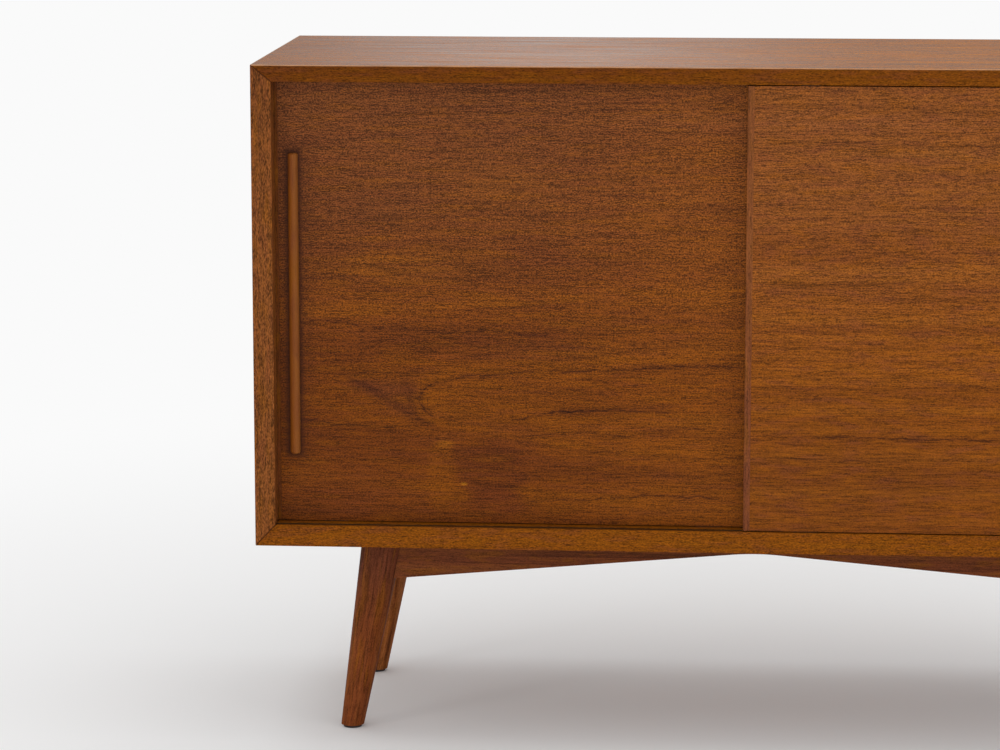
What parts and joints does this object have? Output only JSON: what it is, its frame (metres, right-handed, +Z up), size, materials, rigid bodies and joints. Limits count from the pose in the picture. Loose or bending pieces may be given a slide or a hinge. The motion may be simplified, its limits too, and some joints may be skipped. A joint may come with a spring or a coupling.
{
  "type": "sliding door cabinet",
  "caption": "Low teak cabinet on splayed round legs, with a mitred, bevel-edged case and bypassing doors that slide sideways on tracks over shelved bays.",
  "frame": {"origin": "on the floor, under the middle of the case's width and depth", "axes": "+X to the viewer's right along the doors' travel, +Y from the doors to the back, +Z up"},
  "size_m": [1.22, 0.457, 0.838],
  "materials": {
    "case_teak": "satin clear lacquer over teak with open pores",
    "door_teak": "satin clear lacquer over teak veneer, grain across the door",
    "lipping_teak": "satin clear lacquer",
    "handle_teak": "smooth satin lacquer",
    "leg_teak": "satin clear lacquer, grain along the leg",
    "rail_teak": "satin clear lacquer, grain along the rail",
    "inner_teak": "satin clear lacquer over teak veneer",
    "back_veneer": "thin lacquer over veneered plywood",
    "plywood": "bare birch plywood",
    "hardwood": "bare hardwood",
    "track_plastic": "brown extruded plastic",
    "nylon": "natural nylon",
    "pad_plastic": "dark plastic",
    "shelf_pin_steel": "plated steel",
    "screw_steel": "zinc plated steel"
  },
  "bodies": {
    "case": {"top_panel": "case_teak", "bottom_panel": "case_teak", "left_side_panel": "case_teak", "right_side_panel": "case_teak", "centre_divider": "inner_teak", "left_shelf": "inner_teak", "right_shelf": "inner_teak", "back_panel": "back_veneer", "corner_spline_top_left": "plywood", "corner_spline_top_right": "plywood", "corner_spline_bottom_left": "plywood", "corner_spline_bottom_right": "plywood", "left_shelf_pin_1": "shelf_pin_steel", "left_shelf_pin_2": "shelf_pin_steel", "left_shelf_pin_3": "shelf_pin_steel", "left_shelf_pin_4": "shelf_pin_steel", "right_shelf_pin_1": "shelf_pin_steel", "right_shelf_pin_2": "shelf_pin_steel", "right_shelf_pin_3": "shelf_pin_steel", "right_shelf_pin_4": "shelf_pin_steel", "front_lower_track": "track_plastic", "rear_lower_track": "track_plastic", "front_upper_track": "track_plastic", "rear_upper_track": "track_plastic", "leg_front_left": "leg_teak", "leg_front_right": "leg_teak", "leg_rear_left": "leg_teak", "leg_rear_right": "leg_teak", "front_rail": "rail_teak", "rear_rail": "rail_teak", "left_side_rail": "rail_teak", "right_side_rail": "rail_teak", "foot_pad_front_left": "pad_plastic", "foot_pad_front_right": "pad_plastic", "foot_pad_rear_left": "pad_plastic", "foot_pad_rear_right": "pad_plastic", "corner_brace_front_left": "hardwood", "corner_brace_front_right": "hardwood", "corner_brace_rear_left": "hardwood", "corner_brace_rear_right": "hardwood"},
    "left_door": {"left_door_panel": "door_teak", "left_door_outer_lipping": "lipping_teak", "left_door_inner_lipping": "lipping_teak", "left_door_handle": "handle_teak", "left_door_handle_screw_lower": "screw_steel", "left_door_handle_screw_upper": "screw_steel", "left_door_glide_left": "nylon", "left_door_glide_right": "nylon", "left_door_guide_left": "nylon", "left_door_guide_right": "nylon"},
    "right_door": {"right_door_panel": "door_teak", "right_door_outer_lipping": "lipping_teak", "right_door_inner_lipping": "lipping_teak", "right_door_handle": "handle_teak", "right_door_handle_screw_lower": "screw_steel", "right_door_handle_screw_upper": "screw_steel", "right_door_glide_left": "nylon", "right_door_glide_right": "nylon", "right_door_guide_left": "nylon", "right_door_guide_right": "nylon"}
  },
  "joints": [
    {"name": "left_door_slide", "type": "slide", "parent": "case", "child": "left_door", "axis": [1, 0, 0], "range_m": [0, 0.5715]},
    {"name": "right_door_slide", "type": "slide", "parent": "case", "child": "right_door", "axis": [1, 0, 0], "range_m": [-0.5715, 0]}
  ]
}
